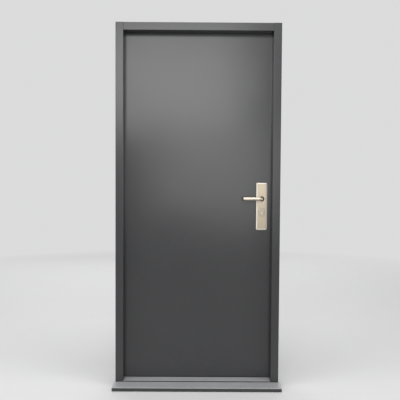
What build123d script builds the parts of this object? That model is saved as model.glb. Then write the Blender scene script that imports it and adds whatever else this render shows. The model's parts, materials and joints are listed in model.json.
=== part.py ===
from build123d import *
import math
import os

# A flush, steel-faced entrance door that opens inward, in its folded steel frame.
# X runs across the door, hinges at -X and lock at +X. Y runs through the wall, outside at -Y,
# with the frame's outside face at Y = 0. Z is up from the underside of the sill.
# All sizes are millimetres.

# Folded frame: a lip, the outside face, reveal, stop, rebate, inside face and a second lip
frame_width = 966
frame_height = 2136
face_width = 46
reveal_depth = 54
stop_step = 18
lip_length = 12
frame_sheet = 1.5
frame_bend = 2.5

# Weathering sill and threshold
sill_height = 28
sill_projection = 76
sill_drop = 6
sill_front = 20
sill_return = 7
sill_overhang = 8
sill_wall = 2.5
sill_bend = 3
end_cap_thickness = 2.5
threshold_rise = 5
threshold_fall = 1
threshold_wall = 2.5
threshold_round = 1
port_radius = 4.5
port_rise = 1.5
port_inset = 16
sill_screw_inset = 110
sill_screw_count = 4

# Leaf
leaf_thickness = 54
leaf_gap = 4
bottom_gap = 6
gasket_space = 6
skin_sheet = 1
skin_return = 24
skin_bend = 1.8
stile_width = 40
rail_width = 30
channel_sheet = 2
channel_bend = 3

# Seals
gasket_width = 9
gasket_base = 1.5
gasket_inset = 1.5
gasket_bore = 1.5
touch_gap = 0.3
seal_width = 4
seal_gap = 0.6

# Wall anchors and the caps over their access holes
anchor_from_end = 400
anchor_from_strike = 150
anchor_height = 30
anchor_thickness = 3
anchor_bore = 5.25
access_bore = 6
access_cap_radius = 7.5
access_cap_thickness = 1
access_cap_round = 0.5
access_cap_stem = 6

# Corner brackets in the head
bracket_leg = 32
bracket_width = 30
bracket_thickness = 3

# Hinges
hinge_from_end = 230
hinge_length = 120
hinge_radius = 11
hinge_knuckles = 3
hinge_web_angle = 30
hinge_pin_radius = 4
hinge_gap = 1
hinge_plate = 4
hinge_leaf_plate = 32
hinge_frame_plate = 18
hinge_plate_clear = 9
hinge_screw_inset = 14
washer_thickness = 1
washer_radius = 10
hinge_cap_height = 3
hinge_cap_round = 2.1
backing_thickness = 4
running_clearance = 0.06

# Screws
screw_radius = 2.4
screw_clearance = 0.1
screw_length = 16
screw_head_radius = 4.3
screw_head_height = 2.6
screw_head_round = 0.9

# Lock case and forend
spindle_height = 1114
backset = 70
case_depth = 95
case_thickness = 15
case_above = 45
case_below = 120
case_wall = 1.5
case_post_radius = 3
case_post_inset = 6
case_screw_radius = 1.4
case_screw_head = 2.7
case_screw_length = 12
case_screw_height = 1.5
forend_length = 235
forend_width = 24
forend_thickness = 3
forend_round = 4
forend_screw_inset = 10
lug_thickness = 4
lug_reach = 12
lug_width = 44
slide_clearance = 0.3
pocket_width = 23
pocket_clearance = 1
overrun = 1

# Latch, dead bolt and follower
latch_height = 20
latch_width = 11
latch_throw = 12
latch_head = 23
latch_flat = 3
latch_lead = 1
dead_bolt_drop = 43
dead_bolt_height = 30
dead_bolt_head = 45
dead_bolt_tail = 44
dead_bolt_throw = 20
dead_bolt_chamfer = 0.6
dead_bolt_tail_height = 15
dead_bolt_notch = 5
tail_width = 6
tail_height = 5
tail_clearance = 1
hook_length = 6.5
follower_radius = 10
follower_web_radius = 12.5
arm_radius = 18.7
arm_width = 6
arm_clearance = 0.5
spring_arm = 16
spring_radius = 3
spring_wire = 0.9
spring_length = 14
spring_turns = 4
ledge_width = 9
ledge_thickness = 2
ledge_gap = 0.75

# Key cylinder
cylinder_drop = 72
cylinder_radius = 8.5
cylinder_width = 10
cylinder_below = 24.5
cylinder_proud = 1.5
cylinder_clearance = 0.5
plug_radius = 6.5
cam_radius = 15
cam_width = 9.5
cam_lobe = 7
cam_clearance = 0.3
keyway_width = 2.4
keyway_height = 9
keyway_depth = 25
cylinder_screw_drop = 20

# Handle set
plate_width = 65
plate_length = 281
plate_above = 95
plate_thickness = 12
plate_edge = 8
plate_border = 7
plate_rim = 1.2
plate_recess = 0.8
plate_wall = 2.5
plate_cavity = 5.5
plate_corner = 4
plate_screw_above = 72
plate_screw_below = 140
pillar_radius = 6
pillar_length = 22
boss_width = 32
boss_length = 46
boss_shift = 8
boss_height = 3
boss_round = 1.5
bearing_radius = 14
bearing_proud = 4
bearing_round = 1
bearing_shoulder = 1.5
lever_radius = 10.4
lever_reach = 40
lever_length = 114
lever_elbow = 17
lever_tip_round = 2.5
neck_foot_gap = 2
spindle_side = 8
spindle_clearance = 0.1
spindle_grip = 22
spindle_chamfer = 0.4
spindle_hole = 12
grub_length = 4.5
grub_setback = 4.8

# Strike plate and the box behind it
strike_thickness = 2
strike_margin = 22
strike_window_margin = 10
strike_side = 5
strike_clearance = 2.5
strike_flat_clearance = 1
strike_screw_inset = 7
strike_box_depth = 19.5
strike_box_wall = 1.5

# Places that follow from the sizes above; cutting shapes run past a face by the overrun
half_frame = frame_width / 2
reveal_x = half_frame - face_width
rebate_x = reveal_x + stop_step
leaf_half = rebate_x - leaf_gap
leaf_front = reveal_depth + gasket_space
leaf_back = leaf_front + leaf_thickness
leaf_middle = (leaf_front + leaf_back) / 2
frame_depth = leaf_back
head_inner = frame_height - face_width
head_rebate = head_inner + stop_step
leaf_top = head_rebate - leaf_gap
threshold_front = sill_height + threshold_rise
threshold_back = threshold_front + threshold_fall
leaf_bottom = threshold_back - (stop_step - leaf_gap)
platform = leaf_bottom - bottom_gap
port_z = port_rise + port_radius
spindle_x = leaf_half - backset
rotor_height = spindle_height - cylinder_drop
forend_back = leaf_half - forend_thickness
case_back = forend_back - case_depth
case_low = spindle_height - case_below
case_high = spindle_height + case_above
case_face = leaf_middle - case_thickness / 2
case_cover_face = leaf_middle + case_thickness / 2
forend_middle = (case_low + case_high) / 2
latch_middle = spindle_height + arm_radius
dead_bolt_middle = spindle_height - dead_bolt_drop
plate_middle = spindle_height + plate_above - plate_length / 2
plate_screw_heights = [spindle_height + plate_screw_above, spindle_height - plate_screw_below]
boss_middle = rotor_height - boss_shift
hinge_x = -(leaf_half + leaf_gap / 2)
hinge_y = leaf_back + hinge_gap + hinge_radius
hinge_heights = [
    leaf_bottom + hinge_from_end,
    (leaf_bottom + leaf_top) / 2,
    leaf_top - hinge_from_end,
]
bore_radius = screw_radius + screw_clearance
screw_sink = screw_head_radius - screw_radius
panel = leaf_front - plate_thickness + plate_recess
ledge_top = spindle_height - arm_width / 2 - spring_length
cylinder_screw_z = rotor_height - cylinder_screw_drop
strike_low = dead_bolt_middle - dead_bolt_height / 2 - strike_margin
strike_high = latch_middle + latch_height / 2 + strike_margin
inward = (0, 1, 0)
outward = (0, -1, 0)


# Helpers

def block(x, y, z):
    # a box between the low and high ends of each axis
    middle = Pos((x[0] + x[1]) / 2, (y[0] + y[1]) / 2, (z[0] + z[1]) / 2)
    return middle * Box(abs(x[1] - x[0]), abs(y[1] - y[0]), abs(z[1] - z[0]))


def span(middle, length):
    return (middle - length / 2, middle + length / 2)


def rounded_bar(width, length, height, x0, x1):
    # an upright outline with rounded corners on the leaf's middle line, drawn out from x0 to x1
    plane = Plane(origin=(x0, leaf_middle, height), x_dir=(0, 1, 0), z_dir=(1, 0, 0))
    return extrude(plane * RectangleRounded(width, length, forend_round), x1 - x0)


def evenly(first, last, count):
    return [first + (last - first) * i / (count - 1) for i in range(count)]


def rod(radius, start, end):
    # a round bar between two points
    axis = Vector(*end) - Vector(*start)
    return extrude(Plane(origin=start, z_dir=axis) * Circle(radius), axis.length)


def across(outline, x, z, y0, y1):
    # an outline centred on (x, z), looking in from outside, thick from y0 to y1
    plane = Plane(origin=(x, max(y0, y1), z), x_dir=(1, 0, 0), z_dir=(0, -1, 0))
    return extrude(plane * outline, abs(y1 - y0))


def along(outline, x0, x1):
    # an outline drawn in Y and Z, drawn out from x0 to x1
    return extrude(Plane.YZ.offset(x0) * outline, x1 - x0)


def bore_across(radius, x, z, y0, y1):
    # a round cut in the direction of Y, run on past both ends
    return rod(radius, (x, y0 - overrun, z), (x, y1 + overrun, z))


def bore_along(radius, y, z, x0, x1):
    # a round cut in the direction of X, run on past both ends
    return rod(radius, (x0 - overrun, y, z), (x1 + overrun, y, z))


def far_edges(solid, direction):
    # the edges that lie furthest along a direction
    return solid.edges().group_by(Axis((0, 0, 0), direction))[-1]


def mirrored(shape):
    # the same piece on the other side of the door
    return mirror(shape, about=Plane.YZ)


def through_leaf(shape):
    # the same piece on the leaf's other face
    return mirror(shape, about=Plane.XZ.offset(-leaf_middle))


def group(shapes):
    return Compound(children=[solid for shape in shapes for solid in shape.solids()])


def folded_section(points, sheet, bend, side):
    # a folded sheet's section, from its visible line and the side its thickness lies on
    line = FilletPolyline(*points, radius=bend)
    rim = offset(line, amount=sheet, side=side, closed=True)
    return make_face(rim.edges())


def pan_screw(seat, direction):
    # a pan-head screw whose head stands on its seat
    seat = Vector(*seat)
    direction = Vector(*direction)
    head = rod(screw_head_radius, seat, seat - direction * screw_head_height)
    head = fillet(far_edges(head, direction * -1), screw_head_round)
    return head + rod(screw_radius, seat, seat + direction * screw_length)


def flush_screw(face, direction):
    # a countersunk screw whose head lies level with a face
    face = Vector(*face)
    direction = Vector(*direction)
    cone = Plane(origin=face + direction * (screw_sink / 2), z_dir=direction)
    head = cone * Cone(screw_head_radius, screw_radius, screw_sink)
    return head + rod(screw_radius, face + direction * (screw_sink / 2), face + direction * screw_length)


def flush_hole(face, direction):
    # the countersunk hole for the same screw
    face = Vector(*face)
    direction = Vector(*direction)
    cone = Plane(origin=face + direction * (screw_sink / 2), z_dir=direction)
    head = cone * Cone(screw_head_radius + screw_clearance, bore_radius, screw_sink)
    mouth = rod(screw_head_radius + screw_clearance, face, face - direction * screw_sink)
    return head + mouth + rod(bore_radius, face, face + direction * (screw_length + screw_sink))


def euro_outline(clearance):
    # the key cylinder's section: a round rotor housing over a narrow rounded foot
    foot = cylinder_below - cylinder_width / 2
    housing = Circle(cylinder_radius + clearance)
    stem = Pos(0, -foot / 2) * Rectangle(cylinder_width + 2 * clearance, foot)
    end = Pos(0, -foot) * Circle(cylinder_width / 2 + clearance)
    return housing + stem + end


# Frame

def jamb_screws():
    # where the head's brackets and the threshold are screwed on, as (Y, Z, X of the seat)
    middle = reveal_depth / 2
    bracket_z = head_inner + frame_sheet + bracket_leg / 2
    bracket_ys = [middle - bracket_width / 4, middle + bracket_width / 4]
    seats = [(y, bracket_z, reveal_x + frame_sheet) for y in bracket_ys]
    seats.append((port_inset, port_z, reveal_x + frame_sheet))
    seats.append((frame_depth - port_inset, port_z, rebate_x + frame_sheet))
    return seats


def frame_section():
    # local x points towards the wall and local y inwards through it
    points = [
        (half_frame, lip_length),
        (half_frame, 0),
        (reveal_x, 0),
        (reveal_x, reveal_depth),
        (rebate_x, reveal_depth),
        (rebate_x, frame_depth),
        (half_frame, frame_depth),
        (half_frame, frame_depth - lip_length),
    ]
    return folded_section(points, frame_sheet, frame_bend, Side.RIGHT)


def plain_jamb():
    # the jamb on the lock side, with the holes that both jambs share
    jamb = jamb_profile()
    for z in anchor_heights:
        jamb -= bore_along(access_bore, leaf_middle, z, rebate_x, rebate_x + frame_sheet)
    for y, z, x in jamb_screws():
        jamb -= bore_along(bore_radius, y, z, x - frame_sheet, x)
    return jamb


def right_jamb():
    length = strike_high - strike_low - 2 * strike_window_margin
    middle = (strike_low + strike_high) / 2
    x = (rebate_x - overrun, rebate_x + frame_sheet + overrun)
    jamb = plain_jamb() - rounded_bar(forend_width, length, middle, *x)
    for screw in strike_screw_seats():
        jamb -= flush_hole(screw, (1, 0, 0))
    return jamb


def left_jamb():
    jamb = mirrored(plain_jamb())
    for seat in all_seats(hinge_frame_seats):
        jamb -= screw_way(seat)
    return jamb


def jamb_profile():
    return extrude(frame_section(), frame_height)


def fitted_between_jambs(shape):
    # the ends of a piece that spans the rebate, cut back round both jambs
    height = (-overrun, frame_height + overrun)
    front = block((reveal_x, rebate_x + overrun), (-overrun, reveal_depth), height)
    right = front + jamb_profile()
    return shape - right - mirrored(right)


def head():
    plane = Plane(origin=(-rebate_x, 0, frame_height - half_frame), x_dir=(0, 0, 1), z_dir=(-1, 0, 0))
    return fitted_between_jambs(extrude(plane * frame_section(), -2 * rebate_x))


def threshold():
    corners = [
        (0, 0),
        (0, threshold_front),
        (reveal_depth, threshold_back),
        (reveal_depth, platform),
        (frame_depth, platform),
        (frame_depth, 0),
    ]
    outline = make_face(Polyline(*corners, close=True))
    hollow = offset(outline, -threshold_wall, kind=Kind.INTERSECTION)
    top = outline.vertices().group_by(Axis.Y)[-1] + outline.vertices().group_by(Axis.Y)[-2]
    outline = fillet(top, threshold_round)
    web = Pos(reveal_depth - threshold_wall / 2, platform / 2) * Rectangle(threshold_wall, platform)
    section = outline - (hollow - web)
    ports = [Pos(y, port_z) for y in (port_inset, frame_depth - port_inset)]
    for port in ports:
        section += port * Circle(port_radius)
    for port in ports:
        section -= port * Circle(bore_radius)
    profile = fitted_between_jambs(along(section, -rebate_x, rebate_x))
    for x in sill_screw_places:
        profile -= bore_across(bore_radius, x, sill_screw_height, 0, threshold_wall)
    return profile


def sill():
    points = [
        (0, 0),
        (0, sill_height),
        (-sill_projection, sill_height - sill_drop),
        (-sill_projection, sill_height - sill_drop - sill_front),
        (-sill_projection + sill_return, sill_height - sill_drop - sill_front),
    ]
    section = folded_section(points, sill_wall, sill_bend, Side.LEFT)
    half = half_frame + sill_overhang - end_cap_thickness
    profile = along(section, -half, half)
    for x in sill_screw_places:
        profile -= bore_across(bore_radius, x, sill_screw_height, -sill_wall, 0)
    return profile


def sill_end_cap():
    # closes the sill's open end, to the same outline
    nose = sill_height - sill_drop
    corners = [(0, 0), (0, sill_height), (-sill_projection, nose), (-sill_projection, nose - sill_front)]
    outline = make_face(Polyline(*corners, close=True))
    outline = fillet(outline.vertices().group_by(Axis.X)[0], sill_bend)
    end = half_frame + sill_overhang
    return along(outline, end - end_cap_thickness, end)


def gasket_section():
    # a hollow bead on a flat foot, standing up along local y
    bead = (gasket_space - touch_gap) / 2
    foot = Pos(0, gasket_base / 2) * Rectangle(gasket_width, gasket_base)
    return foot + Pos(0, bead) * Circle(bead) - Pos(0, bead) * Circle(gasket_bore)


def frame_gasket():
    x = reveal_x + gasket_inset + gasket_width / 2
    top = head_inner + gasket_inset + gasket_width / 2
    path = Polyline(
        (-x, reveal_depth, platform),
        (-x, reveal_depth, top),
        (x, reveal_depth, top),
        (x, reveal_depth, platform),
    )
    start = Plane(origin=(-x, reveal_depth, platform), x_dir=(1, 0, 0), z_dir=(0, 0, 1))
    return sweep(start * gasket_section(), path=path, transition=Transition.RIGHT)


def threshold_gasket():
    half = reveal_x + gasket_inset
    height = threshold_back - gasket_inset - gasket_width / 2
    plane = Plane(origin=(half, reveal_depth, height), x_dir=(0, 0, 1), z_dir=(-1, 0, 0))
    return extrude(plane * gasket_section(), 2 * half)


def anchor_straps():
    # flat straps inside the jambs, behind the lips, bored for the wall fixings
    outer = half_frame - frame_sheet
    x = (outer - anchor_thickness, outer)
    y = (frame_bend, frame_depth - frame_sheet - backing_thickness - slide_clearance)
    straps = []
    for z in anchor_heights:
        strap = block(x, y, span(z, anchor_height))
        strap -= bore_along(anchor_bore, leaf_middle, z, *x)
        straps += [strap, mirrored(strap)]
    return group(straps)


def access_caps():
    # push-in caps that close the holes through which the wall fixings are tightened
    caps = []
    for z in anchor_heights:
        face = (rebate_x, leaf_middle, z)
        cap = rod(access_cap_radius, face, (rebate_x - access_cap_thickness, leaf_middle, z))
        cap = fillet(far_edges(cap, (-1, 0, 0)), access_cap_round)
        cap += rod(access_bore - screw_clearance, face, (rebate_x + access_cap_stem, leaf_middle, z))
        caps += [cap, mirrored(cap)]
    return group(caps)


def corner_brackets():
    # angle brackets in the head's hollow, against each jamb
    low = head_inner + frame_sheet
    y = span(reveal_depth / 2, bracket_width)
    upright = block((reveal_x - bracket_thickness, reveal_x), y, (low, low + bracket_leg))
    foot = block((reveal_x - bracket_leg, reveal_x), y, (low, low + bracket_thickness))
    bracket = upright + foot
    for y, z, x in jamb_screws()[:2]:
        bracket -= bore_along(bore_radius, y, z, x - bracket_leg, x)
    return group([bracket, mirrored(bracket)])


def frame_screws():
    # the screws of the head's brackets, the threshold and the sill
    screws = []
    for y, z, x in jamb_screws():
        screw = pan_screw((x, y, z), (-1, 0, 0))
        screws += [screw, mirrored(screw)]
    for x in sill_screw_places:
        screws.append(pan_screw((x, -sill_wall, sill_screw_height), inward))
    return group(screws)


# Strike

def strike_screw_seats():
    heights = (strike_low + strike_screw_inset, strike_high - strike_screw_inset)
    return [(rebate_x, leaf_middle, z) for z in heights]


def bolt_openings(clearance, flat_clearance, x0, x1):
    # the latch's and the dead bolt's way through a plate, from x0 to x1
    y = (leaf_middle - latch_width / 2 - clearance, leaf_middle + latch_width / 2 + flat_clearance)
    latch = block((x0, x1), y, span(latch_middle, latch_height + 2 * clearance))
    bolt = block((x0, x1), y, span(dead_bolt_middle, dead_bolt_height + 2 * clearance))
    return latch + bolt


def strike_plate():
    x = (rebate_x + frame_sheet, rebate_x + frame_sheet + strike_thickness)
    plate = block(x, span(leaf_middle, forend_width + 2 * strike_side), (strike_low, strike_high))
    plate -= bolt_openings(strike_clearance, strike_flat_clearance, x[0] - overrun, x[1] + overrun)
    for seat in strike_screw_seats():
        plate -= flush_hole(seat, (1, 0, 0))
    return plate


def strike_box():
    # a closed pocket behind the strike plate that keeps the bolts' room clear
    front = rebate_x + frame_sheet + strike_thickness
    low = strike_low + 2 * strike_screw_inset
    high = strike_high - 2 * strike_screw_inset
    wall = strike_box_wall
    box = block((front, front + strike_box_depth), span(leaf_middle, forend_width), (low, high))
    inside = block(
        (front - overrun, front + strike_box_depth - wall),
        span(leaf_middle, forend_width - 2 * wall),
        (low + wall, high - wall),
    )
    return box - inside


def strike_screws():
    return group([flush_screw(seat, (1, 0, 0)) for seat in strike_screw_seats()])


# Hinges

def hinge_rows(z):
    # heights of the three screws on the plates of the hinge at height z
    reach = hinge_length / 2 - hinge_screw_inset
    return (z - reach, z, z + reach)


def hinge_frame_seats(z):
    x = hinge_x - hinge_plate_clear - hinge_frame_plate / 2
    return [(x, leaf_back + hinge_plate, row) for row in hinge_rows(z)]


def hinge_leaf_seats(z):
    x = hinge_x + hinge_plate_clear + hinge_leaf_plate / 2
    return [(x, leaf_back + hinge_plate, row) for row in hinge_rows(z)]


def screw_way(seat):
    # the plain hole behind a hinge screw
    return rod(bore_radius, seat, Vector(*seat) + Vector(*outward) * (screw_length + hinge_plate))


def all_seats(seats):
    # the screw seats of all the hinges, on the frame or on the leaf
    return [seat for z in hinge_heights for seat in seats(z)]


def knuckle(low, high, side):
    # a bored barrel with the web that joins it to its plate, on side -1 (frame) or +1 (leaf)
    far = hinge_plate_clear + hinge_plate
    inner = leaf_back - hinge_y
    outer = inner + hinge_plate
    angle = math.radians(hinge_web_angle)
    corners = [
        (0, outer),
        (side * hinge_plate_clear, inner),
        (side * far, inner),
        (side * far, outer),
        (side * hinge_radius * math.cos(angle), -hinge_radius * math.sin(angle)),
        (0, 0),
    ]
    web = make_face(Polyline(*corners, close=True))
    section = web + Circle(hinge_radius) - Circle(hinge_pin_radius + running_clearance)
    return Pos(hinge_x, hinge_y, low) * extrude(section, high - low)


def middle_knuckle(z):
    # where the middle knuckle and its two washers begin and end
    return span(z, hinge_length / hinge_knuckles)


def hinge_frame_part(z):
    low, high = span(z, hinge_length)
    middle = middle_knuckle(z)
    x = hinge_x - hinge_plate_clear
    part = block((x - hinge_frame_plate, x), (leaf_back, leaf_back + hinge_plate), (low, high))
    part += knuckle(low, middle[0], -1) + knuckle(middle[1], high, -1)
    for seat in hinge_frame_seats(z):
        part -= flush_hole(seat, outward)
    return part


def hinge_leaf_part(z):
    middle = middle_knuckle(z)
    x = hinge_x + hinge_plate_clear
    free = washer_thickness + touch_gap / 2
    plate_y = (leaf_back, leaf_back + hinge_plate)
    part = block((x, x + hinge_leaf_plate), plate_y, span(z, hinge_length))
    part += knuckle(middle[0] + free, middle[1] - free, 1)
    for seat in hinge_leaf_seats(z):
        part -= flush_hole(seat, outward)
    return part


def hinge_pins():
    pins = []
    for z in hinge_heights:
        low, high = span(z, hinge_length)
        pins.append(rod(hinge_pin_radius, (hinge_x, hinge_y, low), (hinge_x, hinge_y, high)))
    return group(pins)


def hinge_washers():
    ring = extrude(Circle(washer_radius) - Circle(hinge_pin_radius + running_clearance), washer_thickness)
    washers = []
    for z in hinge_heights:
        bottom, top = middle_knuckle(z)
        washers.append(Pos(hinge_x, hinge_y, bottom) * ring)
        washers.append(Pos(hinge_x, hinge_y, top - washer_thickness) * ring)
    return group(washers)


def hinge_caps():
    # domed caps that close the barrel at both ends
    caps = []
    for z in hinge_heights:
        for end, way in zip(span(z, hinge_length), (-1, 1)):
            tip = end + way * hinge_cap_height
            cap = rod(hinge_radius, (hinge_x, hinge_y, end), (hinge_x, hinge_y, tip))
            caps.append(fillet(far_edges(cap, (0, 0, way)), hinge_cap_round))
    return group(caps)


def threaded_plates(x, back, seats):
    # one plate to each hinge, whose far face lies at back
    plates = []
    for z in hinge_heights:
        plate = block(x, (back - backing_thickness, back), span(z, hinge_length))
        for seat in seats(z):
            plate -= screw_way(seat)
        plates.append(plate)
    return group(plates)


def hinge_backing_plates():
    # threaded plates behind the frame's inside face
    x = hinge_x - hinge_plate_clear
    return threaded_plates((x - hinge_frame_plate, x), frame_depth - frame_sheet, hinge_frame_seats)


def hinge_reinforcement():
    # threaded plates inside the leaf's hinge stile
    x = hinge_x + hinge_plate_clear
    back = leaf_back - skin_sheet - channel_sheet
    return threaded_plates((x, x + hinge_leaf_plate), back, hinge_leaf_seats)


def hinge_frame_screws():
    return group([flush_screw(seat, outward) for seat in all_seats(hinge_frame_seats)])


def hinge_leaf_screws():
    return group([flush_screw(seat, outward) for seat in all_seats(hinge_leaf_seats)])


# Leaf

def forend_opening(clearance, x0, x1):
    width = forend_width + 2 * clearance
    return rounded_bar(width, forend_length + 2 * clearance, forend_middle, x0, x1)


def handle_set_ways(y0, y1):
    # the holes for the spindle, the key cylinder and the plates' pillars
    ways = bore_across(spindle_hole, spindle_x, spindle_height, y0, y1)
    ways += across(euro_outline(cylinder_clearance), spindle_x, rotor_height, y0 - overrun, y1 + overrun)
    for z in plate_screw_heights:
        ways += bore_across(pillar_radius + slide_clearance, spindle_x, z, y0, y1)
    return ways


def tray(closed, rim):
    # a folded steel tray: closed is the Y of its face and rim the Y of its open edge
    way = 1 if rim > closed else -1
    x = (-leaf_half, leaf_half)
    outer = block(x, (closed, rim), (leaf_bottom, leaf_top))
    outer = fillet(far_edges(outer, (0, -way, 0)), skin_bend)
    inner = block(
        (x[0] + skin_sheet, x[1] - skin_sheet),
        (closed + way * skin_sheet, rim + way * skin_sheet),
        (leaf_bottom + skin_sheet, leaf_top - skin_sheet),
    )
    inner = fillet(far_edges(inner, (0, -way, 0)), skin_bend - skin_sheet)
    edge = leaf_half - skin_sheet
    skin = outer - inner - forend_opening(slide_clearance, edge - overrun, leaf_half + overrun)
    return skin - handle_set_ways(closed - skin_sheet, closed + skin_sheet)


def outside_skin():
    return tray(leaf_front, leaf_front + skin_return)


def inside_skin():
    skin = tray(leaf_back, leaf_back - skin_return)
    for seat in all_seats(hinge_leaf_seats):
        skin -= screw_way(seat)
    return skin


def plain_stile():
    # a channel along the leaf's upright edge, open towards the core
    edge = leaf_half - skin_sheet
    low = leaf_bottom + skin_bend
    section = Pos(edge - stile_width, leaf_middle) * channel_section(stile_width)
    return Pos(0, 0, low) * extrude(section, leaf_top - skin_bend - low)


def channel_section(depth):
    # a folded channel that fits between the skins, its web at the far end of local x
    half = leaf_thickness / 2 - skin_sheet
    points = [(0, -half), (depth, -half), (depth, half), (0, half)]
    return folded_section(points, channel_sheet, channel_bend, Side.LEFT)


def lock_stile():
    # has the forend's opening and two threaded lugs for its screws
    web = leaf_half - skin_sheet - channel_sheet
    stile = plain_stile() - forend_opening(slide_clearance, web - overrun, leaf_half)
    ends = (forend_middle - forend_length / 2, forend_middle + forend_length / 2)
    for z in (span(ends[0], 2 * lug_reach), span(ends[1], 2 * lug_reach)):
        stile += block((web - lug_thickness, web), span(leaf_middle, lug_width), z)
    for x, y, z in forend_screw_seats():
        stile -= bore_along(bore_radius, y, z, x - screw_length, x)
    return stile


def hinge_stile():
    stile = mirrored(plain_stile())
    for seat in all_seats(hinge_leaf_seats):
        stile -= screw_way(seat)
    return stile


def rail(open_end, way):
    # a channel between the stiles, with its web up (way 1) or down (way -1)
    half = leaf_half - skin_sheet - stile_width
    plane = Plane(origin=(-way * half, leaf_middle, open_end), x_dir=(0, 0, way), z_dir=(way, 0, 0))
    return extrude(plane * channel_section(rail_width), 2 * half)


def top_rail():
    return rail(leaf_top - skin_sheet - rail_width, 1)


def bottom_rail():
    return rail(leaf_bottom + skin_sheet + rail_width, -1)


def leaf_core():
    # rigid foam that fills the leaf between its skins, cut out for the lock and its fixings
    half = leaf_half - skin_sheet - channel_sheet
    inner_half = leaf_half - skin_sheet - stile_width
    y = (leaf_front + skin_sheet, leaf_back - skin_sheet)
    z = (leaf_bottom + skin_sheet + channel_sheet, leaf_top - skin_sheet - channel_sheet)
    rail_lip = rail_width - channel_sheet
    core = block((-inner_half, inner_half), y, (z[0] + rail_lip, z[1] - rail_lip))
    core += block((-half, half), (y[0] + channel_sheet, y[1] - channel_sheet), z)
    for channel in (plain_stile(), mirrored(plain_stile()), top_rail(), bottom_rail()):
        core -= channel
    core -= block(
        (case_back - pocket_clearance, half),
        span(leaf_middle, pocket_width),
        (case_low - pocket_clearance, case_high + pocket_clearance),
    )
    core -= block(
        (half - screw_length - lug_thickness, half),
        span(leaf_middle, lug_width),
        span(forend_middle, forend_length + 2 * lug_reach),
    )
    core -= handle_set_ways(*y)
    back = y[1] - channel_sheet
    x = hinge_x + hinge_plate_clear
    for z in hinge_heights:
        core -= block((x, x + hinge_leaf_plate), (back - screw_length, back), span(z, hinge_length))
    return core


def bottom_seal():
    # a rubber strip in the slot between the two skins' lower edges
    slot = leaf_thickness - 2 * skin_return
    half = leaf_half - stile_width
    x = (-half, half)
    stem = block(x, span(leaf_middle, slot), (leaf_bottom, leaf_bottom + skin_sheet))
    return stem + block(x, span(leaf_middle, seal_width), (platform + seal_gap, leaf_bottom))


# Lock

def forend_screw_seats():
    reach = forend_length / 2 - forend_screw_inset
    return [(leaf_half, leaf_middle, forend_middle + way * reach) for way in (-1, 1)]


def cylinder_screw_seat():
    return (leaf_half, leaf_middle, cylinder_screw_z)


def forend():
    plate = forend_opening(0, forend_back, leaf_half)
    plate -= bolt_openings(slide_clearance, slide_clearance, forend_back - overrun, leaf_half + overrun)
    for seat in forend_screw_seats() + [cylinder_screw_seat()]:
        plate -= flush_hole(seat, (-1, 0, 0))
    return plate


def forend_screws():
    return group([flush_screw(seat, (-1, 0, 0)) for seat in forend_screw_seats()])


def cylinder_screw():
    # the long screw that holds the key cylinder from the leaf's edge
    x, y, z = cylinder_screw_seat()
    end = (spindle_x - cylinder_width / 2, y, z)
    return flush_screw((x, y, z), (-1, 0, 0)) + rod(screw_radius, (x - screw_sink, y, z), end)


def case_posts():
    xs = (case_back + case_post_inset, forend_back - case_post_inset - case_wall)
    zs = (case_low + case_post_inset, case_high - case_post_inset)
    return [(x, z) for x in xs for z in zs]


def lock_case():
    # a pressed tray with posts for the cover's screws and a ledge under the follower's spring
    cover = case_cover_face - case_wall
    wall = case_wall
    case = block((case_back, forend_back), (case_face, cover), (case_low, case_high))
    case -= block(
        (case_back + wall, forend_back - wall),
        (case_face + wall, cover + overrun),
        (case_low + wall, case_high - wall),
    )
    for x, z in case_posts():
        case += across(Circle(case_post_radius), x, z, case_face + wall, cover)
        case -= case_screw_bore(x, z)
    ledge_z = (ledge_top - ledge_thickness, ledge_top)
    ledge_x = span(spindle_x - spring_arm, ledge_width)
    case += block(ledge_x, (case_face + wall, cover - ledge_gap), ledge_z)
    edge = (forend_back - wall, forend_back)
    case -= bolt_openings(slide_clearance, slide_clearance, edge[0] - overrun, edge[1] + overrun)
    case -= bore_along(bore_radius, leaf_middle, cylinder_screw_z, *edge)
    return case - case_bores()


def case_screw_bore(x, z):
    end = case_cover_face - case_screw_length
    return across(Circle(case_screw_radius + screw_clearance), x, z, end, case_cover_face + overrun)


def case_bores():
    # the follower's bearing and the key cylinder's passage, through case and cover
    y = (case_face - overrun, case_cover_face + overrun)
    bearing = across(Circle(follower_radius + running_clearance), spindle_x, spindle_height, *y)
    return bearing + across(euro_outline(cylinder_clearance), spindle_x, rotor_height, *y)


def lock_case_cover():
    y = (case_cover_face - case_wall, case_cover_face)
    cover = block((case_back, forend_back), y, (case_low, case_high)) - case_bores()
    for x, z in case_posts():
        cover -= case_screw_bore(x, z)
    return cover


def lock_case_screws():
    screws = []
    for x, z in case_posts():
        end = case_cover_face - case_screw_length + overrun
        head = across(Circle(case_screw_head), x, z, case_cover_face, case_cover_face + case_screw_height)
        screws.append(head + across(Circle(case_screw_radius), x, z, end, case_cover_face))
    return group(screws)


def follower():
    # the nut that the spindle turns, with an arm for the latch and one for the spring
    y = span(leaf_middle, tail_width)
    axis = (spindle_x, spindle_height)
    nut = across(Circle(follower_radius), *axis, case_face, case_cover_face)
    nut += across(Circle(follower_web_radius), *axis, *y)
    nut += block(span(spindle_x, arm_width), y, (spindle_height, latch_middle))
    nut += across(Circle(arm_width / 2), spindle_x, latch_middle, *y)
    rear = spindle_x - spring_arm
    nut += block((rear, spindle_x), y, span(spindle_height, arm_width))
    nut += across(Circle(arm_width / 2), rear, spindle_height, *y)
    return nut - spindle_way(case_face - overrun, case_cover_face + overrun)


def spindle_way(y0, y1):
    # the square hole that takes the spindle
    side = spindle_side + 2 * spindle_clearance
    return across(Rectangle(side, side), spindle_x, spindle_height, y0, y1)


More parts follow.
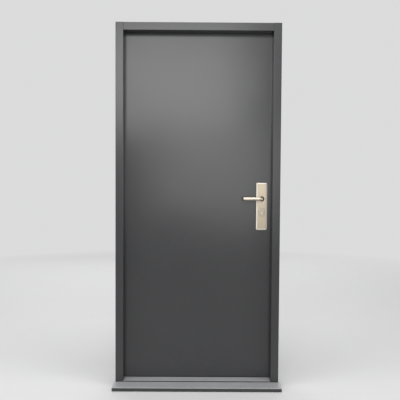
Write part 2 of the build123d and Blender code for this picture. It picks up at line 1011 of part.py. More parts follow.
def follower_spring():
    # a compression coil between the case's ledge and the follower's rear arm
    low = ledge_top + touch_gap + spring_wire / 2
    height = spring_length - spring_wire - 2 * touch_gap
    coil = Helix(pitch=height / spring_turns, height=height, radius=spring_radius)
    wire = sweep(Plane(origin=coil @ 0, z_dir=coil % 0) * Circle(spring_wire / 2), path=coil)
    return Pos(spindle_x - spring_arm, leaf_middle, low) * wire


def latch_bolt():
    # a bevelled head, and a tail that passes over the follower's arm and hooks down behind it
    tip = leaf_half + latch_throw
    back = leaf_half - latch_head
    y = span(leaf_middle, latch_width)
    corners = [
        (back, y[0]),
        (leaf_half + latch_lead, y[0]),
        (tip, y[1] - latch_flat),
        (tip, y[1]),
        (back, y[1]),
    ]
    outline = make_face(Polyline(*corners, close=True))
    low = latch_middle - latch_height / 2
    bolt = extrude(Plane.XY.offset(low) * outline, latch_height)
    tail_y = span(leaf_middle, tail_width)
    hook_face = spindle_x - arm_width / 2 - arm_clearance
    tail_low = latch_middle + arm_width / 2 + tail_clearance
    tail_high = tail_low + tail_height
    bolt += block((hook_face - hook_length, back), tail_y, (tail_low, tail_high))
    hook_low = spindle_height + follower_web_radius + tail_clearance
    return bolt + block((hook_face - hook_length, hook_face), tail_y, (hook_low, tail_high))


def dead_bolt():
    # a square-ended head with a thinner tail that lies over the key cylinder's cam
    y = span(leaf_middle, latch_width)
    head_back = leaf_half - dead_bolt_head
    z = span(dead_bolt_middle, dead_bolt_height)
    bolt = block((head_back, leaf_half), y, z)
    bolt = chamfer(far_edges(bolt, (1, 0, 0)), dead_bolt_chamfer)
    tail_low = rotor_height + cam_radius + 2 * cam_clearance
    tail_y = span(leaf_middle, tail_width)
    tail_z = (tail_low, tail_low + dead_bolt_tail_height)
    bolt += block((head_back - dead_bolt_tail, head_back), tail_y, tail_z)
    return bolt - bore_across(dead_bolt_notch, spindle_x, tail_low, *tail_y)


def cylinder_ends():
    inside_panel = 2 * leaf_middle - panel
    return (panel - boss_height - cylinder_proud, inside_panel + cylinder_proud)


def cylinder_body():
    # two halves joined by the narrow bridge under the cam
    y0, y1 = cylinder_ends()
    body = across(euro_outline(0), spindle_x, rotor_height, y0, y1)
    body -= bore_across(plug_radius + running_clearance, spindle_x, rotor_height, y0, y1)
    slot = span(leaf_middle, cam_width + 2 * cam_clearance)
    body -= across(Circle(cam_radius + cam_clearance), spindle_x, rotor_height, *slot)
    return body - bore_along(bore_radius, leaf_middle, cylinder_screw_z, *span(spindle_x, cylinder_width))


def keyed_plug(face, back):
    # the key slot runs in from the face
    slot = span(rotor_height - keyway_width / 2, keyway_height)
    way = math.copysign(1, back - face)
    plug = across(Circle(plug_radius), spindle_x, rotor_height, face, back)
    keyway = (face - way * overrun, face + way * keyway_depth)
    return plug - block(span(spindle_x, keyway_width), keyway, slot)


def outside_plug():
    return keyed_plug(cylinder_ends()[0], leaf_middle - cam_width / 2)


def inside_plug():
    return keyed_plug(cylinder_ends()[1], leaf_middle + cam_width / 2 + cam_clearance)


def cylinder_cam():
    # the ring on the end of the plug, with the lobe that drives the dead bolt
    y = span(leaf_middle, cam_width)
    ring = across(Circle(plug_radius), spindle_x, rotor_height, *y)
    reach = math.sqrt(cam_radius ** 2 - (cam_lobe / 2) ** 2)
    lobe = block(span(spindle_x, cam_lobe), y, (rotor_height - reach, rotor_height))
    return ring + lobe


# Handle set

def plate():
    # a hollow cover plate with a sloped border round a slightly sunk panel, on the outside face
    front = leaf_front - plate_thickness
    shoulder = leaf_front - plate_edge
    place = (spindle_x, plate_middle)
    outline = RectangleRounded(plate_width, plate_length, plate_corner)
    body = across(outline, *place, shoulder, leaf_front)
    inner = plate_border
    small = RectangleRounded(plate_width - 2 * inner, plate_length - 2 * inner, plate_corner / 2)
    lower = Plane(origin=(place[0], shoulder, place[1]), x_dir=(1, 0, 0), z_dir=(0, -1, 0))
    upper = lower.offset(shoulder - front)
    body += loft([lower * outline, upper * small])
    inner += plate_rim
    sunk = RectangleRounded(plate_width - 2 * inner, plate_length - 2 * inner, plate_corner / 2)
    body -= across(sunk, *place, front - overrun, panel)
    cavity = Rectangle(plate_width - 2 * plate_wall, plate_length - 2 * plate_wall)
    return body - across(cavity, *place, leaf_front - plate_cavity, leaf_front + overrun)


def outside_plate():
    outline = SlotOverall(boss_length, boss_width, rotation=90)
    boss = across(outline, spindle_x, boss_middle, panel - boss_height, panel)
    cover = plate() + fillet(far_edges(boss, outward), boss_round)
    end = leaf_front + pillar_length
    for z in plate_screw_heights:
        cover += across(Circle(pillar_radius), spindle_x, z, leaf_front - plate_cavity, end)
        cover -= across(Circle(bore_radius), spindle_x, z, leaf_front, end + overrun)
    return cover - plate_bores()


def plate_bores():
    # the lever bearing's seat and the key cylinder's passage
    y = (leaf_front - 2 * plate_thickness, leaf_front + overrun)
    seat = bearing_radius - bearing_shoulder + screw_clearance
    bearing = across(Circle(seat), spindle_x, spindle_height, *y)
    return bearing + across(euro_outline(cylinder_clearance), spindle_x, rotor_height, *y)


def inside_plate():
    cover = through_leaf(plate() - plate_bores())
    for z in plate_screw_heights:
        cover += across(Circle(pillar_radius), spindle_x, z, leaf_back, leaf_back + plate_cavity)
        cover -= flush_hole((spindle_x, 2 * leaf_middle - panel, z), outward)
    return cover


def plate_screws():
    # long screws from the inside plate into the outside plate's pillars
    screws = []
    end = leaf_front + pillar_length / 2
    for z in plate_screw_heights:
        face = (spindle_x, 2 * leaf_middle - panel, z)
        shank = across(Circle(screw_radius), spindle_x, z, end, face[1] - screw_sink)
        screws.append(flush_screw(face, outward) + shank)
    return group(screws)


def lever_bearings():
    # flanged rings in which the levers' necks turn
    axis = (spindle_x, spindle_height)
    ring = across(Circle(bearing_radius), *axis, panel - bearing_proud, panel)
    ring = fillet(far_edges(ring, outward), bearing_round)
    ring += across(Circle(bearing_radius - bearing_shoulder), *axis, panel, leaf_front - plate_cavity)
    ring -= bore_across(lever_radius + running_clearance, *axis, panel - bearing_proud, leaf_front)
    return group([ring, through_leaf(ring)])


def outside_lever():
    # a round bar bent through a right angle, pointing at the hinges
    foot = leaf_front - neck_foot_gap
    axis = leaf_front - plate_thickness - lever_reach
    path = FilletPolyline(
        (spindle_x, foot, spindle_height),
        (spindle_x, axis, spindle_height),
        (spindle_x - lever_length, axis, spindle_height),
        radius=lever_elbow,
    )
    start = Plane(origin=(spindle_x, foot, spindle_height), z_dir=(0, -1, 0))
    bar = sweep(start * Circle(lever_radius), path=path)
    bar = fillet(far_edges(bar, (-1, 0, 0)), lever_tip_round)
    bar -= spindle_way(foot - spindle_grip - overrun, foot + overrun)
    grub = (spindle_x, grub_place(), spindle_height)
    return bar - rod(bore_radius, grub, Vector(*grub) - Vector(0, 0, lever_radius + overrun))


def grub_place():
    # just in front of the bearing
    return panel - bearing_proud - grub_setback


def inside_lever():
    return through_leaf(outside_lever())


def spindle():
    reach = neck_foot_gap + spindle_grip
    y = (leaf_front - reach, leaf_back + reach)
    bar = block(span(spindle_x, spindle_side), y, span(spindle_height, spindle_side))
    return chamfer(bar.edges().filter_by(Axis.Y), spindle_chamfer)


def grub_screws():
    top = spindle_height - spindle_side / 2
    y = grub_place()
    screw = rod(screw_radius, (spindle_x, y, top - grub_length), (spindle_x, y, top))
    return group([screw, through_leaf(screw)])


anchor_heights = [
    anchor_from_end,
    strike_low - anchor_from_strike,
    strike_high + anchor_from_strike,
    frame_height - anchor_from_end,
]
sill_screw_places = evenly(sill_screw_inset - reveal_x, reveal_x - sill_screw_inset, sill_screw_count)
sill_screw_height = sill_height / 2
hinge_names = ["bottom", "middle", "top"]

pieces = {
    "left_jamb": left_jamb(),
    "right_jamb": right_jamb(),
    "head": head(),
    "threshold": threshold(),
    "sill": sill(),
    "sill_end_cap_right": sill_end_cap(),
    "sill_end_cap_left": mirrored(sill_end_cap()),
    "frame_gasket": frame_gasket(),
    "threshold_gasket": threshold_gasket(),
    "anchor_straps": anchor_straps(),
    "access_caps": access_caps(),
    "corner_brackets": corner_brackets(),
    "frame_screws": frame_screws(),
    "strike_plate": strike_plate(),
    "strike_box": strike_box(),
    "strike_screws": strike_screws(),
    "hinge_backing_plates": hinge_backing_plates(),
    "hinge_frame_screws": hinge_frame_screws(),
    "hinge_pins": hinge_pins(),
    "hinge_washers": hinge_washers(),
    "hinge_caps": hinge_caps(),
    "outside_skin": outside_skin(),
    "inside_skin": inside_skin(),
    "leaf_core": leaf_core(),
    "hinge_stile": hinge_stile(),
    "lock_stile": lock_stile(),
    "top_rail": top_rail(),
    "bottom_rail": bottom_rail(),
    "bottom_seal": bottom_seal(),
    "hinge_reinforcement": hinge_reinforcement(),
    "hinge_leaf_screws": hinge_leaf_screws(),
    "forend": forend(),
    "forend_screws": forend_screws(),
    "lock_case": lock_case(),
    "lock_case_cover": lock_case_cover(),
    "lock_case_screws": lock_case_screws(),
    "follower": follower(),
    "follower_spring": follower_spring(),
    "latch_bolt": latch_bolt(),
    "dead_bolt": dead_bolt(),
    "cylinder_body": cylinder_body(),
    "cylinder_screw": cylinder_screw(),
    "cylinder_cam": cylinder_cam(),
    "outside_plug": outside_plug(),
    "inside_plug": inside_plug(),
    "outside_plate": outside_plate(),
    "inside_plate": inside_plate(),
    "plate_screws": plate_screws(),
    "lever_bearings": lever_bearings(),
    "outside_lever": outside_lever(),
    "inside_lever": inside_lever(),
    "spindle": spindle(),
    "grub_screws": grub_screws(),
}
for name, z in zip(hinge_names, hinge_heights):
    pieces["hinge_" + name + "_frame_part"] = hinge_frame_part(z)
    pieces["hinge_" + name + "_leaf_part"] = hinge_leaf_part(z)

os.makedirs("parts", exist_ok=True)
for name, piece in pieces.items():
    export_step(piece, "parts/" + name + ".step")
print(len(pieces), "pieces written")
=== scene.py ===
import json
import math

import bmesh
import bpy
from mathutils import Matrix, Vector


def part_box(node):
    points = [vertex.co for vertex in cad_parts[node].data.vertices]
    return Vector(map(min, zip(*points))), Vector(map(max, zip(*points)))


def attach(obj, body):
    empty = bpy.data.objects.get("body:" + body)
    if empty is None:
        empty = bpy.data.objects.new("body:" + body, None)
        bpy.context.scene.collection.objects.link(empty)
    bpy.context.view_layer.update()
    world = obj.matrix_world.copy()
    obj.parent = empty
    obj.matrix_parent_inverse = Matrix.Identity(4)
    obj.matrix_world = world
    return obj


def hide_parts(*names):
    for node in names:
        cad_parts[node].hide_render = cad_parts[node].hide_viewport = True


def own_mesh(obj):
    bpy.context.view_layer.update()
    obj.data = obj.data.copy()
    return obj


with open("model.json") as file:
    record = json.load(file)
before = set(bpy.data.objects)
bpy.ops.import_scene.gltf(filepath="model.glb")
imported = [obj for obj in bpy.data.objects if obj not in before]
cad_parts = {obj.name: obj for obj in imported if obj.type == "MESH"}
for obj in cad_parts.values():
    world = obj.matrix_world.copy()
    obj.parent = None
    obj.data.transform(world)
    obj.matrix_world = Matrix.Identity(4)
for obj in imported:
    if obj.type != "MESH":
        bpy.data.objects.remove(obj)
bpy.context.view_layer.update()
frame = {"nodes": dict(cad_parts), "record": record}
nodes = frame["nodes"]
bodies = frame["record"]["behaviour"]["bodies"]
print("frame loaded:", len(nodes), "nodes")


# one output socket, so that sums on shader values read as sums
class Wire:
    def __init__(self, board, socket):
        self.board = board
        self.socket = socket

    def maths(self, operation, first, second, clamp=False):
        settings = {"operation": operation, "use_clamp": clamp}
        return self.board.node("ShaderNodeMath", settings, {0: first, 1: second})[0]

    def __add__(self, other):
        return self.maths("ADD", self, other)

    def __radd__(self, other):
        return self.maths("ADD", other, self)

    def __sub__(self, other):
        return self.maths("SUBTRACT", self, other)

    def __rsub__(self, other):
        return self.maths("SUBTRACT", other, self)

    def __mul__(self, other):
        return self.maths("MULTIPLY", self, other)

    def __rmul__(self, other):
        return self.maths("MULTIPLY", other, self)

    def __truediv__(self, other):
        return self.maths("DIVIDE", self, other)

    def __rtruediv__(self, other):
        return self.maths("DIVIDE", other, self)

    def held(self):
        return self.maths("ADD", self, 0.0, clamp=True)


# a new node, whose outputs are asked for by name or number
class Made:
    def __init__(self, board, node):
        self.board = board
        self.node = node

    def __getitem__(self, key):
        return Wire(self.board, self.node.outputs[key])


# a node tree and the ways to add to it
class Board:
    def __init__(self, tree):
        self.tree = tree

    def node(self, kind, settings, sockets):
        made = self.tree.nodes.new(kind)
        for name, value in settings.items():
            if name == "stops":
                self.setStops(made.color_ramp, value)
            else:
                setattr(made, name, value)
        for key, value in sockets.items():
            if isinstance(value, Wire):
                self.tree.links.new(value.socket, made.inputs[key])
            else:
                made.inputs[key].default_value = value
        return Made(self, made)

    def setStops(self, ramp, stops):
        while len(ramp.elements) < len(stops):
            ramp.elements.new(0.5)
        for element, (position, value) in zip(ramp.elements, stops):
            element.position = position
            element.color = (value, value, value, 1)


# a procedural material with its Principled surface
class Finish(Board):
    def __init__(self, name, **fixed):
        self.material = bpy.data.materials.new(name)
        self.material.use_nodes = True
        super().__init__(self.material.node_tree)
        self.tree.nodes.clear()
        self.surface = self.node("ShaderNodeBsdfPrincipled", {}, fixed)
        self.output = self.node("ShaderNodeOutputMaterial", {}, {"Surface": self.surface[0]})
        self.place = self.node("ShaderNodeTexCoord", {}, {})["Object"]
        self.normal = self.node("ShaderNodeNewGeometry", {}, {})["Normal"]

    def feed(self, **sockets):
        for name, value in sockets.items():
            target = self.surface.node.inputs[name.replace("_", " ")]
            self.tree.links.new(value.socket, target)

    def stretched(self, x, y, z):
        settings = {"operation": "MULTIPLY"}
        return self.node("ShaderNodeVectorMath", settings, {0: self.place, 1: (x, y, z)})[0]

    def noise(self, scale, detail=3, place=None, roughness=0.55):
        sockets = {"Vector": place or self.place, "Scale": scale, "Detail": detail, "Roughness": roughness}
        return self.node("ShaderNodeTexNoise", {}, sockets)[0]

    def ramp(self, value, *stops):
        return self.node("ShaderNodeValToRGB", {"stops": stops}, {0: value})[0]

    def blendColours(self, mask, first, second):
        sockets = {0: mask, 6: withAlpha(first), 7: withAlpha(second)}
        return self.node("ShaderNodeMix", {"data_type": "RGBA"}, sockets)[2]

    def upward(self):
        return self.node("ShaderNodeSeparateXYZ", {}, {0: self.normal})[2]

    def height(self):
        return self.node("ShaderNodeSeparateXYZ", {}, {0: self.place})[2]

    def softEdges(self, radius):
        return self.node("ShaderNodeBevel", {"samples": 4}, {"Radius": radius})[0]

    def edges(self, radius, low=0.015, high=0.2):
        # white along outer edges and folds, black on flats
        sockets = {0: self.softEdges(radius), 1: self.normal}
        flat = self.node("ShaderNodeVectorMath", {"operation": "DOT_PRODUCT"}, sockets)["Value"]
        return self.ramp(1 - flat, (low, 0), (high, 1))

    def slopes(self):
        # white on faces that slope away from the front and the back
        across = self.node("ShaderNodeSeparateXYZ", {}, {0: self.normal})[1]
        return self.ramp(across * across, (0.45, 0), (0.6, 1), (0.72, 1), (0.85, 0))

    def crevices(self, distance, low=0.35, high=0.8):
        # white in corners and beside raised borders, black in the open
        sockets = {"Distance": distance}
        openness = self.node("ShaderNodeAmbientOcclusion", {"samples": 6}, sockets)["AO"]
        return self.ramp(openness, (low, 1), (high, 0))

    def bump(self, value, distance, strength=1.0, normal=None):
        sockets = {"Height": value, "Distance": distance, "Strength": strength}
        if normal:
            sockets["Normal"] = normal
        return self.node("ShaderNodeBump", {}, sockets)[0]


def withAlpha(value):
    return value if isinstance(value, Wire) else (*value, 1)


# satin powder coat on the leaf and the frame
paint = {
    "anthracite": (0.0305, 0.031, 0.0325),
    "paler": (0.0355, 0.036, 0.0375),
    "dust": (0.33, 0.332, 0.345),
    "rubbed": (0.075, 0.076, 0.08),
    "trodden": (0.42, 0.42, 0.43),
    "soil": (0.012, 0.012, 0.012),
    "ior": 1.46,
    "roughness": 0.24,
    "roughnessSpread": 0.05,
    "grain": 2600,  # powder grain, waves per metre
    "peel": 420,  # orange peel
    "wave": 2.2,  # slow waves of thin sheet
    "edge": 0.0009,
    "nose": 0.009,  # how far the pale nose band, shoe wear and a painted highlight, reaches round an edge that shoes cross
    "corner": 0.006,  # how far the painted shade reaches out of a corner
}


def powderCoat(name, dustFloor, topDustAndLight, wave=0.0, trodden=False):
    coat = Finish(name, IOR=paint["ior"])
    cloud = coat.noise(2.2, 4)
    mottle = coat.noise(38, 5)
    tone = coat.ramp(cloud * 0.7 + mottle * 0.3, (0.3, 0), (0.75, 1))
    base = coat.blendColours(tone, paint["anthracite"], paint["paler"])
    rubbed = (coat.edges(paint["edge"]) * coat.ramp(mottle, (0.45, 0), (0.65, 1)) * 0.5).held()
    base = coat.blendColours(rubbed, base, paint["rubbed"])
    low = (1 - coat.height() / dustFloor).held()
    speckle = coat.ramp(coat.noise(160, 6, roughness=0.7), (0.42, 0), (0.7, 1))
    splash = coat.ramp(coat.noise(14, 5), (0.4, 0), (0.75, 1))
    film = (low * low * (speckle * 0.3 + splash * 0.2 + 0.4) * 0.07).held()
    # paler on faces that point up: settled dust, and painted light falling from above
    flat = coat.ramp(coat.upward(), (0.55, 0), (0.95, 1))
    settledDustAndToplight = (flat * topDustAndLight * (0.86 + splash * 0.1 + speckle * 0.12)).held()
    dustAndToplight = (film + settledDustAndToplight).held()
    base = coat.blendColours(dustAndToplight, base, paint["dust"])
    corner = paint["corner"]
    if trodden:
        corner *= 2
        # a pale band along the upward edges of the nose: shoe wear and a painted highlight
        facingUp = coat.ramp(coat.upward(), (0.2, 0), (0.5, 1))
        worn = (coat.edges(paint["nose"], 0.002, 0.03) * facingUp * 0.8).held()
        base = coat.blendColours(worn, base, paint["trodden"])
    # near black in corners and beside raised parts: painted shade
    cornerShade = (coat.crevices(corner, 0.5, 0.95) * 0.85).held()
    coat.feed(Base_Color=coat.blendColours(cornerShade, base, paint["soil"]))
    rough = paint["roughness"] + (mottle - 0.5) * paint["roughnessSpread"] + dustAndToplight * 0.3 + cornerShade * 0.35
    coat.feed(Roughness=rough.held())
    shape = coat.softEdges(paint["edge"])
    if wave:
        shape = coat.bump(coat.noise(paint["wave"], 1), wave, 1.0, shape)
    shape = coat.bump(coat.noise(paint["peel"], 2), 0.0001, 0.35, shape)
    coat.feed(Normal=coat.bump(coat.noise(paint["grain"], 2), 0.00006, 0.3, shape))
    return coat.material


# satin nickel of the lever handles, their plates and the key cylinder
lever = {
    "pale": (0.49, 0.43, 0.355),
    "deep": (0.44, 0.387, 0.317),
    "bright": (0.74, 0.68, 0.59),
    "roughness": 0.28,
    "border": 0,
}
plate = {
    "pale": (0.353, 0.303, 0.234),
    "deep": (0.312, 0.267, 0.205),
    "bright": (0.93, 0.89, 0.81),
    "roughness": 0.3,
    "border": 1,  # the sloping border carries a painted highlight, pale and matt
}

cylinder = {
    "pale": (0.45, 0.39, 0.31),
    "deep": (0.4, 0.35, 0.275),
    "bright": (0.62, 0.57, 0.49),
    "roughness": 0.36,
    "border": 0,
}

# plain stainless steel of the hinges, the forend and the strike
steel = {
    "pale": (0.56, 0.56, 0.555),
    "deep": (0.49, 0.49, 0.49),
    "bright": (0.72, 0.72, 0.72),
    "roughness": 0.36,
    "border": 0,
}
metalCreviceShade = (0.12, 0.1, 0.08)
metalEdge = 0.0006
highlightMatt = 0.7  # how far the sloping border turns from metal to a pale matt skin, so that its painted highlight shows
brushWaves = 1800  # per metre, across the brushing


def brushedMetal(name, stretch, tones):
    metal = Finish(name, Metallic=1.0)
    brushed = metal.noise(brushWaves, 3, metal.stretched(*stretch))
    handled = metal.ramp(metal.noise(30, 4), (0.3, 0), (0.75, 1))
    base = metal.blendColours((brushed * 0.7 + handled * 0.3).held(), tones["deep"], tones["pale"])
    # pale along the edges and across the sloping border: painted highlight
    slopes = metal.slopes() * tones["border"]
    base = metal.blendColours((metal.edges(metalEdge) + slopes).held(), base, tones["bright"])
    # dark brown in recesses and beside raised parts: painted shade
    creviceShade = (metal.crevices(0.006, 0.55, 0.97) * (0.6 + handled * 0.25)).held()
    metal.feed(Base_Color=metal.blendColours(creviceShade, base, metalCreviceShade))
    rough = tones["roughness"] + (brushed - 0.5) * 0.12 + (handled - 0.5) * 0.03 + creviceShade * 0.2 + slopes * 0.5
    metal.feed(Roughness=rough.held())
    metal.feed(Metallic=1 - slopes * highlightMatt)
    metal.feed(Normal=metal.bump(brushed, 0.00001, 0.3, metal.softEdges(metalEdge)))
    return metal.material


# zinc plate on the steel that the paint doesn't cover
zinc = {"pale": (0.62, 0.63, 0.64), "deep": (0.45, 0.46, 0.48), "roughness": 0.38}


def zincPlate(name):
    metal = Finish(name, Metallic=1.0)
    spangle = metal.node("ShaderNodeTexVoronoi", {}, {"Vector": metal.place, "Scale": 140.0})["Color"]
    cell = metal.node("ShaderNodeSeparateXYZ", {}, {0: spangle})[0]
    tone = (cell * 0.5 + metal.noise(30, 4) * 0.5).held()
    metal.feed(Base_Color=metal.blendColours(tone, zinc["deep"], zinc["pale"]))
    metal.feed(Roughness=(zinc["roughness"] + (cell - 0.5) * 0.14).held())
    metal.feed(Normal=metal.bump(metal.noise(900, 3), 0.00004, 0.5, metal.softEdges(0.0003)))
    return metal.material


# black seals
rubber = {"dark": (0.012, 0.012, 0.013), "worn": (0.035, 0.034, 0.033), "roughness": 0.66}


def blackRubber(name):
    seal = Finish(name, IOR=1.45)
    bloom = seal.ramp(seal.noise(60, 5), (0.4, 0), (0.75, 1))
    seal.feed(Base_Color=seal.blendColours(bloom, rubber["dark"], rubber["worn"]))
    seal.feed(Roughness=(rubber["roughness"] + (bloom - 0.5) * 0.15).held())
    seal.feed(Normal=seal.bump(seal.noise(1500, 3), 0.00008, 0.5))
    return seal.material


# moulded caps, bearings and the strike's box
plastic = {"dark": (0.022, 0.023, 0.025), "paler": (0.036, 0.037, 0.04), "roughness": 0.48}


def mouldedPlastic(name):
    shell = Finish(name, IOR=1.46)
    spark = shell.noise(1400, 3)
    shell.feed(Base_Color=shell.blendColours(shell.noise(25, 3), plastic["dark"], plastic["paler"]))
    shell.feed(Roughness=(plastic["roughness"] + (spark - 0.5) * 0.2).held())
    shell.feed(Normal=shell.bump(spark, 0.00005, 0.5, shell.softEdges(0.0004)))
    return shell.material


# rigid foam inside the leaf
foam = {"pale": (0.78, 0.7, 0.46), "deep": (0.55, 0.46, 0.24)}


def rigidFoam(name):
    core = Finish(name, Roughness=0.9)
    cells = core.node("ShaderNodeTexVoronoi", {}, {"Vector": core.place, "Scale": 900.0})["Distance"]
    core.feed(Base_Color=core.blendColours(core.ramp(cells, (0.1, 1), (0.6, 0)), foam["pale"], foam["deep"]))
    core.feed(Normal=core.bump(cells, 0.0004, 0.7))
    return core.material


finishes = {
    "leafPaint": powderCoat("leafPaint", 0.7, 0.3, wave=0.003),
    "framePaint": powderCoat("framePaint", 0.5, 0.35),
    "sillPaint": powderCoat("sillPaint", 0.12, 0.85, trodden=True),
    "nickelUpright": brushedMetal("nickelUpright", (1, 1, 0.03), plate),
    "nickelAlong": brushedMetal("nickelAlong", (0.03, 1, 1), lever),
    "cylinderNickel": brushedMetal("cylinderNickel", (1, 0.05, 1), cylinder),
    "stainless": brushedMetal("stainless", (1, 1, 0.04), steel),
    "zincPlate": zincPlate("zincPlate"),
    "blackRubber": blackRubber("blackRubber"),
    "mouldedPlastic": mouldedPlastic("mouldedPlastic"),
    "rigidFoam": rigidFoam("rigidFoam"),
}
print("finishes made:", len(finishes))

wears = {
    "leafPaint": ["outside_skin", "inside_skin"],
    "framePaint": ["left_jamb", "right_jamb", "head"],
    "sillPaint": ["sill", "threshold", "sill_end_cap_left", "sill_end_cap_right"],
    "nickelUpright": ["outside_plate", "inside_plate"],
    "nickelAlong": ["outside_lever", "inside_lever", "latch_bolt", "dead_bolt", "spindle"],
    "cylinderNickel": ["cylinder_body", "outside_plug", "inside_plug", "cylinder_cam"],
    "stainless": ["forend", "strike_plate", "hinge_caps"],
    "blackRubber": ["frame_gasket", "threshold_gasket", "bottom_seal"],
    "mouldedPlastic": ["access_caps", "strike_box", "lever_bearings"],
    "rigidFoam": ["leaf_core"],
}
for hinge in ("bottom", "middle", "top"):
    wears["stainless"] += [f"hinge_{hinge}_frame_part", f"hinge_{hinge}_leaf_part"]

dressed = {node: finish for finish, members in wears.items() for node in members}
for node, piece in nodes.items():
    piece.data.materials.clear()
    piece.data.materials.append(finishes[dressed.get(node, "zincPlate")])
print("CAD nodes dressed:", len(nodes))


# screws whose heads show on an open door, each with the recess that its driver fits
screws = {
    "sides": 24,
    "shank": 0.0024,
    "headedFrom": 1.2,  # shanks; a screw no wider than this has no head
    "tipTaper": 0.7,
    "rim": 0.00025,  # the thin straight edge of a countersunk head
    "crossReach": 0.62,  # of the head's radius
    "crossArm": 0.17,
    "hexReach": 0.6,
    "recessDepth": 0.0014,
    "recessTaper": 0.7,
    "threadPitch": 0.0012,
    "threadDepth": 0.0003,
}
fasteners = {
    "hinge_frame_screws": {"faces": (0, 1, 0), "recess": "cross", "finish": "stainless"},
    "hinge_leaf_screws": {"faces": (0, 1, 0), "recess": "cross", "finish": "stainless"},
    "strike_screws": {"faces": (-1, 0, 0), "recess": "cross", "finish": "stainless"},
    "forend_screws": {"faces": (1, 0, 0), "recess": "cross", "finish": "stainless"},
    "cylinder_screw": {"faces": (1, 0, 0), "recess": "cross", "finish": "stainless"},
    "plate_screws": {"faces": (0, 1, 0), "recess": "cross", "finish": "nickelUpright"},
    "grub_screws": {"faces": (0, 0, -1), "recess": "hex", "finish": "zincPlate"},
}


def solidsOf(node):
    # the points of each separate solid in a CAD node
    mesh = bmesh.new()
    mesh.from_mesh(nodes[node].data)
    bmesh.ops.remove_doubles(mesh, verts=mesh.verts, dist=0.000001)
    solids = []
    for first in mesh.verts:
        if first.tag:
            continue
        first.tag = True
        waiting = [first]
        points = []
        while waiting:
            vert = waiting.pop()
            points.append(vert.co.copy())
            for edge in vert.link_edges:
                other = edge.other_vert(vert)
                if not other.tag:
                    other.tag = True
                    waiting.append(other)
        solids.append(points)
    mesh.free()
    return solids


def crossOutline(headRadius):
    reach = screws["crossReach"] * headRadius
    arm = screws["crossArm"] * headRadius
    corners = []
    for quarter in range(4):
        turn = Matrix.Rotation(math.pi / 2 * quarter, 2)
        corners += [turn @ Vector(corner) for corner in ((reach, -arm), (reach, arm), (arm, arm))]
    return corners


def hexOutline(headRadius):
    reach = screws["hexReach"] * headRadius
    return [Matrix.Rotation(math.pi / 3 * corner, 2) @ Vector((reach, 0)) for corner in range(6)]


def screwProfile(headRadius, length):
    # radius and depth from the flat top to the tip
    shank = screws["shank"]
    rim = screws["rim"]
    if headRadius > shank * screws["headedFrom"]:
        profile = [(headRadius - rim / 2, 0), (headRadius, rim / 2), (headRadius, rim)]
    else:
        profile = [(headRadius - screws["threadDepth"], 0)]
    depth = profile[-1][1] + headRadius - shank + rim
    while depth + screws["threadPitch"] < length:
        profile.append((shank, depth))
        profile.append((shank - screws["threadDepth"], depth + screws["threadPitch"] / 2))
        depth += screws["threadPitch"]
    profile.append((shank * screws["tipTaper"], length))
    return profile


def addScrew(mesh, centre, facing, headRadius, length, outline):
    turn = facing.to_track_quat("Z", "Y").to_matrix()

    def ring(corners, depth):
        return [mesh.verts.new(centre + turn @ Vector((*corner, -depth))) for corner in corners]

    def band(upper, lower):
        for i, vert in enumerate(upper):
            j = (i + 1) % len(upper)
            mesh.faces.new((vert, upper[j], lower[j], lower[i]))

    angles = [2 * math.pi * i / screws["sides"] for i in range(screws["sides"])]
    circle = [Vector((math.cos(angle), math.sin(angle))) for angle in angles]
    profile = screwProfile(headRadius, length)
    rings = [ring([corner * radius for corner in circle], depth) for radius, depth in profile]
    for upper, lower in zip(rings, rings[1:]):
        band(upper, lower)
    mesh.faces.new(rings[-1])
    mouth = ring(outline, 0)
    pit = ring([corner * screws["recessTaper"] for corner in outline], screws["recessDepth"])
    band(mouth, pit)
    mesh.faces.new(pit)
    borders = []
    for loop in (rings[0], mouth):
        borders += [mesh.edges.get((vert, loop[(i + 1) % len(loop)])) for i, vert in enumerate(loop)]
    bmesh.ops.triangle_fill(mesh, use_beauty=True, edges=borders)


def makeScrews(node, design):
    facing = Vector(design["faces"])
    axis = max(range(3), key=lambda i: abs(facing[i]))
    mesh = bmesh.new()
    for points in solidsOf(node):
        low = Vector([min(point[i] for point in points) for i in range(3)])
        high = Vector([max(point[i] for point in points) for i in range(3)])
        centre = (low + high) / 2
        centre[axis] = high[axis] if facing[axis] > 0 else low[axis]
        headRadius = (high - low)[(axis + 1) % 3] / 2
        outline = hexOutline(headRadius) if design["recess"] == "hex" else crossOutline(headRadius)
        addScrew(mesh, centre, facing, headRadius, (high - low)[axis], outline)
    bmesh.ops.recalc_face_normals(mesh, faces=mesh.faces)
    data = bpy.data.meshes.new(node + "_driven")
    mesh.to_mesh(data)
    mesh.free()
    data.polygons.foreach_set("use_smooth", [True] * len(data.polygons))
    data.set_sharp_from_angle(angle=math.radians(30))
    data.materials.append(finishes[design["finish"]])
    piece = bpy.data.objects.new(node + "_driven", data)
    bpy.context.scene.collection.objects.link(piece)
    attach(piece, next(body for body, members in bodies.items() if node in members))
    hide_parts(node)
    return len(data.polygons)


for node, design in fasteners.items():
    print("screws made for", node + ":", makeScrews(node, design), "faces")


# the coil under the follower's rear arm, with closed ends
coil = {
    "turns": 4,
    "closed": 0.75,  # of a turn that lies flat at each end
    "wire": 0.0009,
    "steps": 20,  # per turn
    "sides": 8,
    "pressed": 0.2,  # of its free length
}


